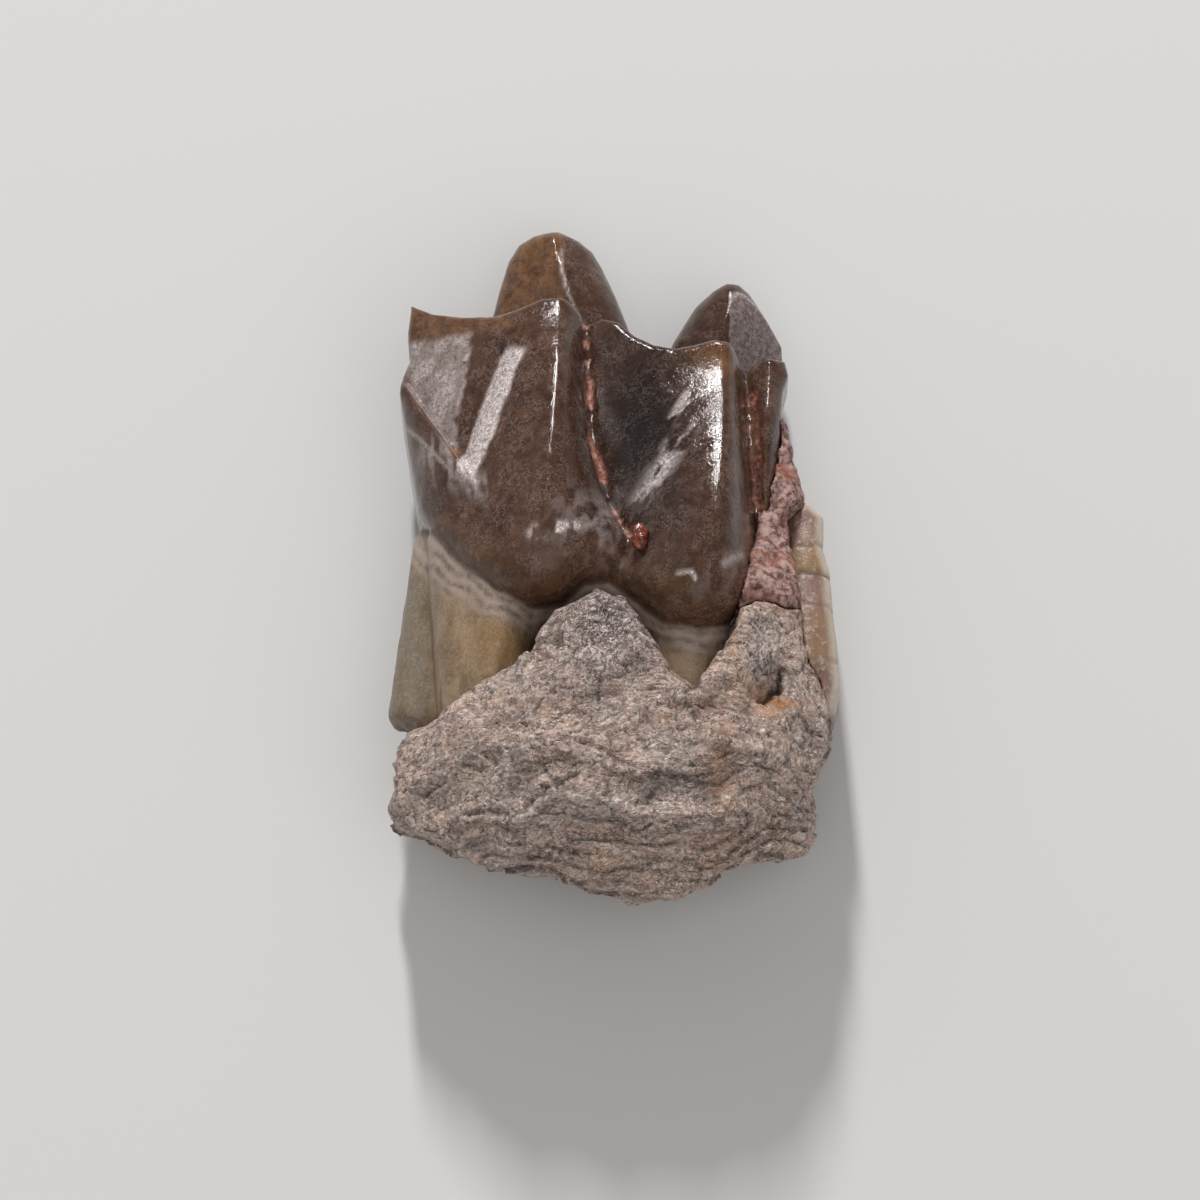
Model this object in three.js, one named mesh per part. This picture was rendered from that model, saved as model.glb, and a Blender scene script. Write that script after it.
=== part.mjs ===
// A broken piece of fossil oreodont jaw with one molar standing in it.
// It lies on its tongue side, so the cheek side faces up.
//
// Millimetres. X runs along the tooth row, Y from the broken lower edge of the jaw towards the
// chewing edge, and Z from the tongue side at 0 up to the cheek side. The origin is on the resting
// plane, under the middle of the piece.
//
// Every solid is the zero surface of a field that is negative inside it. The fields are joined
// softly, so a root runs into its crown as grown tooth does, and one mesh is made from each.
import * as THREE from "three";

// Driving dimensions.
const BACK_TILT = 0.3; // how far the broken jaw leans, in mm of Y for each mm of Z
const GAP = 0.32; // kept free between two pieces that touch
const STEP = 0.78; // size of one facet
const ENAMEL_STEP = 0.55; // how far the enamel stands out over the root
const CINGULUM_HEIGHT = 0.75;
const PIT_DEPTH = 1.3;
const TERRACE_HEIGHT = 0.45;

// Soft joins: the larger value of two, or the smaller, with the corner rounded over k.
function softMin(a, b, k) {
  const h = Math.max(k - Math.abs(a - b), 0) / k;
  return Math.min(a, b) - (h * h * k) / 4;
}

function softMax(a, b, k) {
  return -softMin(-a, -b, k);
}

// A smooth line through knots [place, value], flat beyond its two ends.
function profile(knots) {
  const slope = knots.map((knot, i) => {
    if (i === 0 || i === knots.length - 1) return 0;
    const [before, after] = [knots[i - 1], knots[i + 1]];
    return (after[1] - before[1]) / (after[0] - before[0]);
  });
  return (t) => {
    if (t <= knots[0][0]) return knots[0][1];
    for (let i = 1; i < knots.length; i += 1) {
      if (t > knots[i][0]) continue;
      const width = knots[i][0] - knots[i - 1][0];
      const s = (t - knots[i - 1][0]) / width;
      const rise = s * s * (3 - 2 * s);
      return (
        knots[i - 1][1] * (1 - rise) +
        knots[i][1] * rise +
        width * (s * (1 - s) * (1 - s) * slope[i - 1] - s * s * (1 - s) * slope[i])
      );
    }
    return knots[knots.length - 1][1];
  };
}

// Signed distance in XY to a closed outline, negative inside it.
function outline(points) {
  const corners = points.map(([x, y]) => new THREE.Vector2(x, y));
  return (x, y) => {
    let nearest = Infinity;
    let inside = false;
    corners.forEach((b, i) => {
      const a = corners[(i + corners.length - 1) % corners.length];
      const along = ((x - a.x) * (b.x - a.x) + (y - a.y) * (b.y - a.y)) / a.distanceToSquared(b);
      const t = Math.min(Math.max(along, 0), 1);
      const dx = x - a.x - t * (b.x - a.x);
      const dy = y - a.y - t * (b.y - a.y);
      nearest = Math.min(nearest, dx * dx + dy * dy);
      if (a.y > y !== b.y > y && x < a.x + ((y - a.y) / (b.y - a.y)) * (b.x - a.x)) {
        inside = !inside;
      }
    });
    return inside ? -Math.sqrt(nearest) : Math.sqrt(nearest);
  };
}

// Distance in XY to an open line of points, used for low ridges and furrows.
function lineDistance(points) {
  return (x, y) => {
    let nearest = Infinity;
    for (let i = 1; i < points.length; i += 1) {
      const [ax, ay] = points[i - 1];
      const [bx, by] = points[i];
      const along =
        ((x - ax) * (bx - ax) + (y - ay) * (by - ay)) / ((bx - ax) ** 2 + (by - ay) ** 2);
      const t = Math.min(Math.max(along, 0), 1);
      nearest = Math.min(nearest, Math.hypot(x - ax - t * (bx - ax), y - ay - t * (by - ay)));
    }
    return nearest;
  };
}

// A round bump of height 1, which falls to nothing over its width.
function bump(distance, width) {
  return Math.exp(-((distance / width) ** 2));
}

// A tapered round bar between two points, flattened along Z by the factor flat.
function taper([ax, ay, az], [bx, by, bz], startRadius, endRadius, flat = 1) {
  return (x, y, z) => {
    const d = [bx - ax, by - ay, bz - az];
    const p = [x - ax, y - ay, z - az];
    const length2 = d[0] ** 2 + d[1] ** 2 + d[2] ** 2;
    const t = Math.min(Math.max((p[0] * d[0] + p[1] * d[1] + p[2] * d[2]) / length2, 0), 1);
    const off = Math.hypot(p[0] - t * d[0], p[1] - t * d[1], (p[2] - t * d[2]) * flat);
    return (off - startRadius - t * (endRadius - startRadius)) / Math.sqrt(flat);
  };
}

// Low waves in several directions, for surfaces that broke unevenly. Runs from about -1 to 1.
function uneven(x, y, z) {
  return (
    0.4 * Math.sin(1.9 * x + 0.7 * y + 1.3 * z + 0.6) +
    0.35 * Math.sin(-1.1 * x + 2.3 * y + 0.9 * z + 2.1) +
    0.25 * Math.sin(3.1 * x - 1.7 * y - 2.2 * z + 4.4)
  );
}

// The cheek face of the crown. Its height Z is set along five lines that run from the root end to
// the chewing edge: the front edge, the two ribs, the groove between the lobes and the hind edge.
const crownLines = {
  frontEdge: {
    x: profile([[-3, -7.9], [2, -8.4], [6, -8.8], [11, -8.7]]),
    z: profile([[-3, 6.6], [2, 6.2], [6, 5.7], [11, 6.1]]),
  },
  frontRib: {
    x: profile([[-3, -3.5], [1, -2.85], [4.5, -2.5], [10, -2.25]]),
    z: profile([[-3.4, 9.9], [-1, 10.6], [2, 10.6], [5, 10.1], [8, 9.2], [11, 8.1]]),
  },
  groove: {
    x: profile([[-2.2, 0.25], [0, 0.55], [1.5, -0.05], [4.5, -0.8], [10, -1.1]]),
    z: profile([[-2.2, 9.1], [0, 8.9], [2, 8.3], [5, 7.7], [10, 6.9]]),
  },
  hindRib: {
    x: profile([[-4, 3.5], [0, 4.1], [3, 4.45], [8, 4.6]]),
    z: profile([[-4.2, 9.9], [-2, 10.6], [1, 10.6], [4, 9.9], [8.5, 8.5]]),
  },
  hindEdge: {
    x: profile([[-2, 5.9], [1, 5.95], [5, 5.65], [9, 5.5]]),
    z: profile([[-3, 7.6], [1, 6.6], [5, 6.9], [9, 6.3]]),
  },
};

// From a rib at 1 down to a furrow at 0: rounded on top and straight below.
function flank(t, roundness) {
  const s = Math.min(Math.max(t, 0), 1);
  return 1 - (1 - s) ** roundness;
}

// The cingulum is a ledge that runs down across the front flange, from its outer edge inwards. It
// is steep where it faces the chewing edge, and it falls off slowly on its other side.
const LEDGE_START = [-8.75, 7.7];
const LEDGE_RUN = [0.496, -0.868];
const ledgeFade = profile([[-1, 0], [0, 1], [4.8, 1], [7, 0]]);

function cingulumLedge(x, y) {
  const [dx, dy] = [x - LEDGE_START[0], y - LEDGE_START[1]];
  const along = dx * LEDGE_RUN[0] + dy * LEDGE_RUN[1];
  const above = -dx * LEDGE_RUN[1] + dy * LEDGE_RUN[0];
  const step = 1 / (1 + Math.exp(above / 0.12));
  return ledgeFade(along) * step * bump(Math.min(above, 0), 1.6);
}

const flangeFurrow = lineDistance([[-4.7, 8.4], [-6.2, 4.2]]);

// The hind style is a low pillar that stands behind the hind rib, with a furrow between them.
const hindStyle = lineDistance([[6.55, 8.4], [6.4, 5.4], [6.4, 2]]);
const styleFurrow = lineDistance([[5.5, 8.8], [5.65, 5], [5.95, 1.2], [5.9, -0.8]]);

function cheekFace(x, y) {
  const at = Object.fromEntries(
    Object.entries(crownLines).map(([name, line]) => [name, { x: line.x(y), z: line.z(y) }]),
  );
  const between = (low, high, roundness) => {
    const t = (x - low.x) / (high.x - low.x);
    return low.z + (high.z - low.z) * flank(t, roundness);
  };
  let height;
  if (x < at.frontRib.x) height = between(at.frontEdge, at.frontRib, 1.35);
  else if (x < at.groove.x) height = between(at.groove, at.frontRib, 1.8);
  else if (x < at.hindRib.x) height = between(at.groove, at.hindRib, 1.5);
  else height = between(at.hindEdge, at.hindRib, 2);
  height += CINGULUM_HEIGHT * cingulumLedge(x, y);
  height -= 0.5 * bump(flangeFurrow(x, y), 0.55);
  height += 0.5 * bump(hindStyle(x, y), 0.5) - 0.35 * bump(styleFurrow(x, y), 0.45);
  return height;
}

const crownOutline = outline([
  [-8.5, 11.3], [-7.6, 10.8], [-6.3, 10.45], [-4.9, 10.3], [-3.9, 10.6], [-3, 10.95],
  [-2.1, 10.95], [-1.5, 10.6], [-1, 10.2], [-0.5, 10.35], [0.2, 10.1], [0.9, 9.4], [1.7, 8.9],
  [2.6, 8.65], [3.4, 8.75], [4.2, 8.95], [4.9, 8.85], [5.3, 8.4], [5.6, 8.35], [6.2, 8.8],
  [7.2, 8.75], [7.35, 8.1], [7.1, 7.3], [7, 5.6], [6.75, 2.6], [6.4, 0.2], [5.65, -2],
  [4.7, -3.4], [3.5, -3.85], [2.1, -3.5], [1, -2.5], [-0.15, -1.7], [-1.2, -1.75],
  [-2.1, -2.4], [-3.5, -2.7], [-4.85, -2.2], [-6.2, -1], [-7.35, 0.65], [-8.15, 2.35],
  [-8.35, 3.5], [-8.7, 5.7], [-8.95, 7.3], [-8.85, 8.2], [-8.55, 8.85], [-8.65, 10.1],
]);

// How far the tongue face of the crown stands above the resting plane: two worn swellings touch.
function tongueFace(x, y) {
  const front = bump(Math.hypot(x + 2.8, (y - 3.5) / 1.7), 3);
  const hind = bump(Math.hypot(x - 4.4, (y - 3) / 1.6), 3);
  return 1.4 - 1.75 * Math.max(front, hind) + 0.02 * Math.max(y - 6, 0) ** 2;
}

// The valley between the front crescents and the taller cusps behind them.
const valleySlope = profile([[3.5, -0.5], [5.5, 1.8], [7.5, 4.5], [9, 5.3], [11, 5.8]]);

function valleyFloor(x, y) {
  return valleySlope(y) - 1.7 * ((x + 0.8) / 8) ** 2;
}

function crown(x, y, z) {
  const face = (z - cheekFace(x, y)) * 0.78;
  const back = Math.max(tongueFace(x, y), valleyFloor(x, y)) - z;
  return softMax(softMax(face, crownOutline(x, y), 1.3), back * 0.85, 0.7);
}

const frontCuspOutline = outline([
  [-6.8, 4], [-6.2, 8.5], [-5.4, 11.9], [-4.5, 14.6], [-3.6, 15.5], [-1.3, 15.4], [-0.4, 14.4],
  [0.7, 11.4], [1.5, 8], [1.7, 4],
]);
const hindCuspOutline = outline([
  [1.1, 4], [1.7, 8.5], [2.5, 10.8], [3.4, 12.3], [4.3, 13.05], [5.2, 13.3], [6.1, 12.5],
  [7.2, 10.7], [7.2, 8.5], [6.9, 4],
]);

// One of the two tall cusps on the tongue side: a cone with a rib down the face that looks at the
// front crescents, and a flatter tongue face.
function tallCusp(shape, rib, tip) {
  const reach = profile([[4, 5.6], [7, 5.1], [tip - 3, 4.8], [tip, 4.3]]);
  const behind = profile([[4, -0.3], [8, 0.1], [tip - 3, 0.6], [tip, 1.6]]);
  return (x, y, z) => {
    const across = Math.abs(x - rib(y));
    const face = (z - reach(y) + 0.62 * across) * 0.8;
    const back = (behind(y) + 0.12 * across * across - z) * 0.9;
    return softMax(softMax(face, back, 0.9), shape(x, y), 1);
  };
}

const frontTallCusp = tallCusp(frontCuspOutline, profile([[6, -1.6], [12, -1.8], [15, -2.5]]), 15.4);
const hindTallCusp = tallCusp(hindCuspOutline, profile([[6, 4], [10, 4.7], [13, 5]]), 13.3);

// The worn oval on the hind cusp is a flat cut that faces the chewing side.
function wearCut(x, y, z) {
  return (x - 6.2) * 0.66 - (y - 10.4) * 0.15 + (z - 3.3) * 0.75;
}

// Two roots, each a bar that is deep from cheek to tongue and narrows into the jaw. The front root
// has a second column beside it, so a flute runs between them, and it ends at the broken edge.
const frontRoot = taper([-5, 0.5, 5.3], [-5.7, -11, 5.6], 2.75, 1.3, 0.66);
const frontRootColumn = taper([-7.1, 1, 4], [-8.1, -6, 3.7], 1.3, 1.25);
const hindRoot = taper([3.1, 0, 5.3], [3.2, -11.5, 5.5], 2.75, 1.2, 0.66);
const neck = taper([-3.6, 0, 5], [2.4, -0.6, 5], 3, 2.9, 0.75);

function roots(x, y, z) {
  const front = softMin(frontRoot(x, y, z), frontRootColumn(x, y, z), 0.5);
  const both = softMin(front, hindRoot(x, y, z), 0.8);
  const cutEnds = Math.max(-6.55 - y - 0.25 * (x + 9), -9.3 - y);
  const leftEnd = x < -7.9 ? cutEnds : -9.3 - y;
  return softMax(softMin(both, neck(x, y, z), 1.6), leftEnd, 0.3);
}

function molarTooth(x, y, z) {
  const cusps = Math.min(
    frontTallCusp(x, y, z),
    softMax(hindTallCusp(x, y, z), wearCut(x, y, z), 0.3),
  );
  const enamel = softMin(crown(x, y, z), cusps, 0.9);
  const sunken = (z - cheekFace(x, y) + ENAMEL_STEP) * 0.78;
  return softMin(enamel, softMax(roots(x, y, z), sunken, 0.6), 0.2);
}

// The jaw bone: a rough block round the roots, with a peak between them and terraces below.
const boneOutline = outline([
  [-0.7, -2.1], [-2.3, -3], [-3.4, -4.6], [-4.85, -5.8], [-6.2, -6.4], [-7.2, -7.5],
  [-8.4, -8.3], [-8.9, -9.4], [-9.15, -11.4], [-8.95, -12.3], [-7, -13], [-5, -14],
  [-2.7, -14.1], [-1.5, -14.7], [1, -15.3], [2.5, -15.2], [3.95, -14.55], [4.6, -13.9],
  [5.9, -13.6], [7.75, -13.45], [8.3, -12.9], [8.05, -10.7], [8.8, -8.6], [8.85, -7.2],
  [8.6, -6], [8.1, -4.9], [7.8, -3.8], [7.6, -2.8], [6.7, -2.5], [5.8, -2.4], [5.2, -2.8],
  [4.7, -4], [4.2, -4.9], [3.3, -6.2], [2.7, -5.8], [2.05, -4.8], [1.15, -3.6], [0.5, -2.5],
]);
const terraceEdges = [
  lineDistance([[-8, -10.4], [-5.2, -9.2], [-2.6, -9.3], [0.9, -10.6], [4, -10.3]]),
  lineDistance([[-6.2, -12.2], [-3.6, -12.1], [-2.1, -11.2], [1, -12.4], [5.5, -12.2]]),
  lineDistance([[2.9, -7.2], [3.1, -9], [6.8, -9.6]]),
];
const edgeFall = profile([[-9.2, 7.3], [-6, 9.2], [-2, 10.4], [3, 10.4], [6, 9.4], [9, 7]]);
const lowerFall = profile([[-15.3, 2.4], [-13, 1.1], [-10, 0.2], [-6, 0], [-2, 0.2]]);

function boneFace(x, y) {
  let height = edgeFall(x) - lowerFall(y);
  for (const edge of terraceEdges) height += TERRACE_HEIGHT * bump(edge(x, y), 0.7);
  height -= PIT_DEPTH * bump(Math.hypot((x - 6.2) / 0.9, (y + 6.1) / 1.5), 0.85);
  return height + 0.28 * uneven(x, y, 0);
}

function boneBack(x, y) {
  const broken = bump(Math.hypot((x - 0.6) / 1.2, (y + 7.6) / 0.95), 5.2);
  return 2.3 - 2.75 * broken + 0.3 * uneven(x + 5, y, 3);
}

function boneBlock(x, y, z) {
  const shape = boneOutline(x, y - BACK_TILT * (8 - z)) + 0.16 * uneven(x, y, z);
  const faces = softMax((z - boneFace(x, y)) * 0.9, (boneBack(x, y) - z) * 0.9, 0.8);
  return softMax(shape, faces, 1.1);
}

function jawBone(x, y, z) {
  return Math.max(boneBlock(x, y, z), GAP - molarTooth(x, y, z));
}

// The red sediment fills the gap between the hind edge of the tooth, the bone and the root stump.
const sedimentOutline = outline([
  [5.8, 7.6], [6.6, 7.4], [7.25, 6], [7.55, 4.6], [7.9, 3.1], [7.9, 2.5], [7.2, 1.9], [7.3, 0.5],
  [7.6, -1], [7.8, -5.2], [4.6, -5.2], [4.6, -2.6], [5.3, -1.2], [5.9, 0.5], [6.1, 2.7],
]);
const sedimentTop = profile([[-5, 9], [-2, 8.2], [1, 7.1], [4, 6.5], [7.5, 6.5]]);

function redSediment(x, y, z) {
  const face = z - sedimentTop(y) + 0.35 * (x - 6.8) - 0.22 * uneven(2 * x, 2 * y, z);
  const back = 1.6 + 0.25 * uneven(x, y, 7) - z;
  const fill = softMax(softMax(face * 0.9, back, 0.8), sedimentOutline(x, y), 0.7);
  return Math.max(fill, GAP - molarTooth(x, y, z), GAP - boneBlock(x, y, z));
}

// The cream slab along the hind edge, a stump of the next tooth's root.
const stumpOutline = outline([
  [7.1, 2.7], [8.1, 2.85], [8.8, 2.2], [8.75, 0.7], [9.05, -0.4], [9.15, -2.1], [9.3, -3.9],
  [9.4, -5.5], [9.2, -6.3], [8.6, -6.5], [7.6, -6.3], [7, -3],
]);

function rootStump(x, y, z) {
  const face = z - 6 + 0.1 * (y + 2) + 0.4 * (x - 8) ** 2;
  const shape = softMax(softMax(face, 1.9 - z, 1), stumpOutline(x, y), 0.8);
  const others = Math.min(redSediment(x, y, z), boneBlock(x, y, z), molarTooth(x, y, z));
  return Math.max(shape, GAP - others);
}

// A hard grain caught low in the groove between the two lobes.
const GRAIN_PLACE = [1.05, -0.15, 9.75];
const GRAIN_SIZE = [0.34, 0.42, 0.26];

// Turns a field into a closed mesh: one vertex in each cell that the surface crosses, and one
// four-sided face round each cell edge that it crosses.
function solidFrom(field, low, high, step) {
  const count = low.map((value, i) => Math.ceil((high[i] - value) / step) + 2);
  const place = (i, axis) => low[axis] + (i - 0.5) * step;
  const index = (i, j, k) => (k * count[1] + j) * count[0] + i;
  const grounded = (x, y, z) => Math.max(field(x, y, z), -z);
  const values = new Float32Array(count[0] * count[1] * count[2]);
  const everyCell = (visit) => {
    for (let k = 0; k < count[2] - 1; k += 1) {
      for (let j = 0; j < count[1] - 1; j += 1) {
        for (let i = 0; i < count[0] - 1; i += 1) visit(i, j, k);
      }
    }
  };
  for (let k = 0; k < count[2]; k += 1) {
    for (let j = 0; j < count[1]; j += 1) {
      for (let i = 0; i < count[0]; i += 1) {
        values[index(i, j, k)] = grounded(place(i, 0), place(j, 1), place(k, 2));
      }
    }
  }

  // Only the largest body stays, without crumbs beside it or closed bubbles inside it.
  const spread = (start, filled) => {
    const reached = new Uint8Array(values.length);
    const waiting = [start];
    reached[start] = 1;
    while (waiting.length > 0) {
      const here = waiting.pop();
      for (const hop of [1, count[0], count[0] * count[1]]) {
        for (const next of [here - hop, here + hop]) {
          if (next < 0 || next >= values.length || reached[next]) continue;
          if (values[next] < 0 !== filled) continue;
          reached[next] = 1;
          waiting.push(next);
        }
      }
    }
    return reached;
  };
  const deepest = values.reduce((best, value, n) => (value < values[best] ? n : best), 0);
  const body = spread(deepest, true);
  values.forEach((value, n) => {
    if (value < 0 && !body[n]) values[n] = 0.02;
  });
  const outside = spread(0, false);
  values.forEach((value, n) => {
    if (value >= 0 && !outside[n]) values[n] = -0.02;
  });

  // Where two filled corners of a cell face touch only across its diagonal, one more is filled.
  const axes = [[1, 0, 0], [0, 1, 0], [0, 0, 1]];
  for (let pass = 0, changed = true; changed && pass < 20; pass += 1) {
    changed = false;
    everyCell((i, j, k) => {
      for (const [u, v] of [[0, 1], [1, 2], [0, 2]]) {
        const [a, b] = [axes[u], axes[v]];
        const ring = [
          index(i, j, k),
          index(i + a[0], j + a[1], k + a[2]),
          index(i + a[0] + b[0], j + a[1] + b[1], k + a[2] + b[2]),
          index(i + b[0], j + b[1], k + b[2]),
        ];
        const full = ring.map((corner) => values[corner] < 0);
        if (full[0] === full[2] && full[1] === full[3] && full[0] !== full[1]) {
          const empty = full[0] ? [ring[1], ring[3]] : [ring[0], ring[2]];
          values[values[empty[0]] < values[empty[1]] ? empty[0] : empty[1]] = -0.02;
          changed = true;
        }
      }
    });
  }

  const positions = [];
  const vertexOf = new Map();
  everyCell((i, j, k) => {
    const sum = [0, 0, 0];
    let crossings = 0;
    for (let axis = 0; axis < 3; axis += 1) {
      for (let other = 0; other < 4; other += 1) {
        const start = [i, j, k];
        start[(axis + 1) % 3] += other & 1;
        start[(axis + 2) % 3] += other >> 1;
        const end = start.map((value, n) => value + axes[axis][n]);
        const [a, b] = [values[index(...start)], values[index(...end)]];
        if (a < 0 === b < 0) continue;
        const t = a / (a - b);
        for (let n = 0; n < 3; n += 1) sum[n] += place(start[n] + t * axes[axis][n], n);
        crossings += 1;
      }
    }
    if (crossings === 0) return;
    const point = sum.map((value) => value / crossings);
    for (let turn = 0; turn < 2; turn += 1) {
      const here = grounded(...point);
      const small = 0.02;
      const slope = axes.map(([x, y, z]) => {
        const ahead = grounded(point[0] + small * x, point[1] + small * y, point[2] + small * z);
        return (ahead - here) / small;
      });
      const steep = Math.max(slope[0] ** 2 + slope[1] ** 2 + slope[2] ** 2, 0.3);
      const shift = Math.min(Math.max(here / steep, -0.3 * step), 0.3 * step);
      for (let n = 0; n < 3; n += 1) point[n] -= shift * slope[n];
    }
    point[2] = point[2] < 0.12 * step ? 0 : point[2];
    vertexOf.set(index(i, j, k), positions.length / 3);
    positions.push(...point);
  });

  const triangles = [];
  everyCell((i, j, k) => {
    for (let axis = 0; axis < 3; axis += 1) {
      const here = values[index(i, j, k)];
      const there = values[index(i + axes[axis][0], j + axes[axis][1], k + axes[axis][2])];
      if (here < 0 === there < 0) continue;
      const [u, v] = [axes[(axis + 1) % 3], axes[(axis + 2) % 3]];
      const ring = [[0, 0], [1, 0], [1, 1], [0, 1]].map(([p, q]) =>
        vertexOf.get(index(i - p * u[0] - q * v[0], j - p * u[1] - q * v[1], k - p * u[2] - q * v[2])),
      );
      if (here > 0) ring.reverse();
      triangles.push(ring[0], ring[1], ring[2], ring[0], ring[2], ring[3]);
    }
  });

  const geometry = new THREE.BufferGeometry();
  geometry.setAttribute("position", new THREE.Float32BufferAttribute(positions, 3));
  geometry.setIndex(triangles);
  geometry.computeVertexNormals();
  return geometry;
}

function piece(name, geometry, color, roughness) {
  const material = new THREE.MeshStandardMaterial({ color, roughness, metalness: 0 });
  material.name = name;
  const mesh = new THREE.Mesh(geometry, material);
  mesh.name = name;
  return mesh;
}

function grooveGrain() {
  const geometry = new THREE.IcosahedronGeometry(1, 1);
  geometry.scale(...GRAIN_SIZE);
  const grain = piece("groove_grain", geometry, 0x8a3a20, 0.25);
  grain.position.set(...GRAIN_PLACE);
  grain.rotation.set(0.3, -0.2, 0.5);
  return grain;
}

const fossil = new THREE.Group();
fossil.name = "oreodont_jaw_fragment";
fossil.add(
  piece("molar_tooth", solidFrom(molarTooth, [-10, -10, 0], [9, 16, 12], STEP), 0x43302a, 0.3),
  piece("jaw_bone", solidFrom(jawBone, [-10, -16.5, 0], [10, 0.5, 12], STEP), 0x8d7a70, 0.8),
  piece("red_sediment", solidFrom(redSediment, [4, -6, 0], [9.5, 8.5, 11.5], STEP), 0x8c5148, 0.85),
  piece("root_stump", solidFrom(rootStump, [6.5, -7.5, 0], [10, 3.5, 8], STEP), 0xa09a78, 0.5),
  grooveGrain(),
);

export default fossil;
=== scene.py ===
import math

import bpy
import numpy as np
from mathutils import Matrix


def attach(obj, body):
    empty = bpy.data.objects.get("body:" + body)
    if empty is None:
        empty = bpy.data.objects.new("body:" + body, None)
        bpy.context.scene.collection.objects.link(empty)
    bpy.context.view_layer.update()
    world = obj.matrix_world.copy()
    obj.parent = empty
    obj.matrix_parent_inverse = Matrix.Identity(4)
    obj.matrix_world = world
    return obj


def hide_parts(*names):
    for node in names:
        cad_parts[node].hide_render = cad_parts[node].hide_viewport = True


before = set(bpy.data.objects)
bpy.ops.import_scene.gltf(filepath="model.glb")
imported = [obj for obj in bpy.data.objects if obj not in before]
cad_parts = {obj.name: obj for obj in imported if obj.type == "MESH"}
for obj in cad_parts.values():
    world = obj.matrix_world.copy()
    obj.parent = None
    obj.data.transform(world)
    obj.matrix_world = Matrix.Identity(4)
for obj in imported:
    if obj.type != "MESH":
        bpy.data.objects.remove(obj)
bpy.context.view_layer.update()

# A broken piece of fossil oreodont jaw with one molar, lying on its tongue side. All lengths below
# are millimetres, and they become metres where a mesh is made. X runs along the tooth row, Y towards
# the chewing edge and Z from the tongue side up to the cheek side.
MM = 0.001
FINE_STEP = 0.125
BACK_TILT = 0.3
GAP = 0.03
ENAMEL_STEP = 0.55
CINGULUM_HEIGHT = 0.75
PIT_DEPTH = 1.3
TERRACE_HEIGHT = 0.45
SETTLING_TURNS = 2

# Above this height is the cheek side, which the photograph shows.
CHEEK_SIDE = 5

# Camera, as the photograph was taken: above the fossil and a little towards its lower edge.
CAMERA_ELEVATION = 72
CAMERA_DISTANCE = 300
FRAME_WIDTH = 49.9
LOOK_AT = (-0.56, -1.6, 5.5)


# Camera

def make_camera():
    data = bpy.data.cameras.new("camera")
    data.sensor_width = 36
    data.lens = 36 * CAMERA_DISTANCE / FRAME_WIDTH
    data.clip_start = 0.01
    camera = bpy.data.objects.new("camera", data)
    bpy.context.collection.objects.link(camera)
    tilt = math.radians(CAMERA_ELEVATION)
    camera.location = (
        LOOK_AT[0] * MM,
        (LOOK_AT[1] - CAMERA_DISTANCE * math.cos(tilt)) * MM,
        (LOOK_AT[2] + CAMERA_DISTANCE * math.sin(tilt)) * MM,
    )
    camera.rotation_euler = (math.pi / 2 - tilt, 0, 0)
    bpy.context.scene.camera = camera


make_camera()


# Shaping tools. Each solid is the zero surface of a field that is negative inside it.

def soft_min(a, b, k):
    h = np.maximum(k - np.abs(a - b), 0) / k
    return np.minimum(a, b) - h * h * k / 4


def soft_max(a, b, k):
    return -soft_min(-a, -b, k)


def profile(knots):
    """A smooth line through knots (place, value), flat beyond its two ends."""
    places = np.array([k[0] for k in knots], float)
    values = np.array([k[1] for k in knots], float)
    slopes = np.zeros(len(knots))
    slopes[1:-1] = (values[2:] - values[:-2]) / (places[2:] - places[:-2])

    def line(t):
        t = np.clip(t, places[0], places[-1])
        i = np.clip(np.searchsorted(places, t, side="left"), 1, len(places) - 1)
        width = places[i] - places[i - 1]
        s = (t - places[i - 1]) / width
        rise = s * s * (3 - 2 * s)
        bend = s * (1 - s) * (1 - s) * slopes[i - 1] - s * s * (1 - s) * slopes[i]
        return values[i - 1] * (1 - rise) + values[i] * rise + width * bend

    return line


def segment_distance(x, y, a, b):
    along = ((x - a[0]) * (b[0] - a[0]) + (y - a[1]) * (b[1] - a[1]))
    along = np.clip(along / ((b[0] - a[0]) ** 2 + (b[1] - a[1]) ** 2), 0, 1)
    return np.hypot(x - a[0] - along * (b[0] - a[0]), y - a[1] - along * (b[1] - a[1]))


def outline(points):
    """Signed distance in XY to a closed outline, negative inside it."""
    def distance(x, y):
        x, y = np.broadcast_arrays(x, y)
        nearest = np.full(x.shape, 1e9)
        inside = np.zeros(x.shape, bool)
        for a, b in zip(points[-1:] + points[:-1], points):
            nearest = np.minimum(nearest, segment_distance(x, y, a, b))
            if a[1] != b[1]:
                crosses = (a[1] > y) != (b[1] > y)
                inside ^= crosses & (x < a[0] + (y - a[1]) / (b[1] - a[1]) * (b[0] - a[0]))
        return np.where(inside, -nearest, nearest)

    return distance


def line_distance(points):
    def distance(x, y):
        nearest = segment_distance(x, y, points[0], points[1])
        for a, b in zip(points[1:-1], points[2:]):
            nearest = np.minimum(nearest, segment_distance(x, y, a, b))
        return nearest

    return distance


def bump(distance, width):
    return np.exp(-((distance / width) ** 2))


def taper(a, b, start_radius, end_radius, flat=1.0):
    d = np.subtract(b, a)

    def bar(x, y, z):
        p = (x - a[0], y - a[1], z - a[2])
        t = np.clip((p[0] * d[0] + p[1] * d[1] + p[2] * d[2]) / np.dot(d, d), 0, 1)
        off = np.sqrt((p[0] - t * d[0]) ** 2 + (p[1] - t * d[1]) ** 2 + ((p[2] - t * d[2]) * flat) ** 2)
        return (off - start_radius - t * (end_radius - start_radius)) / math.sqrt(flat)

    return bar


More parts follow.
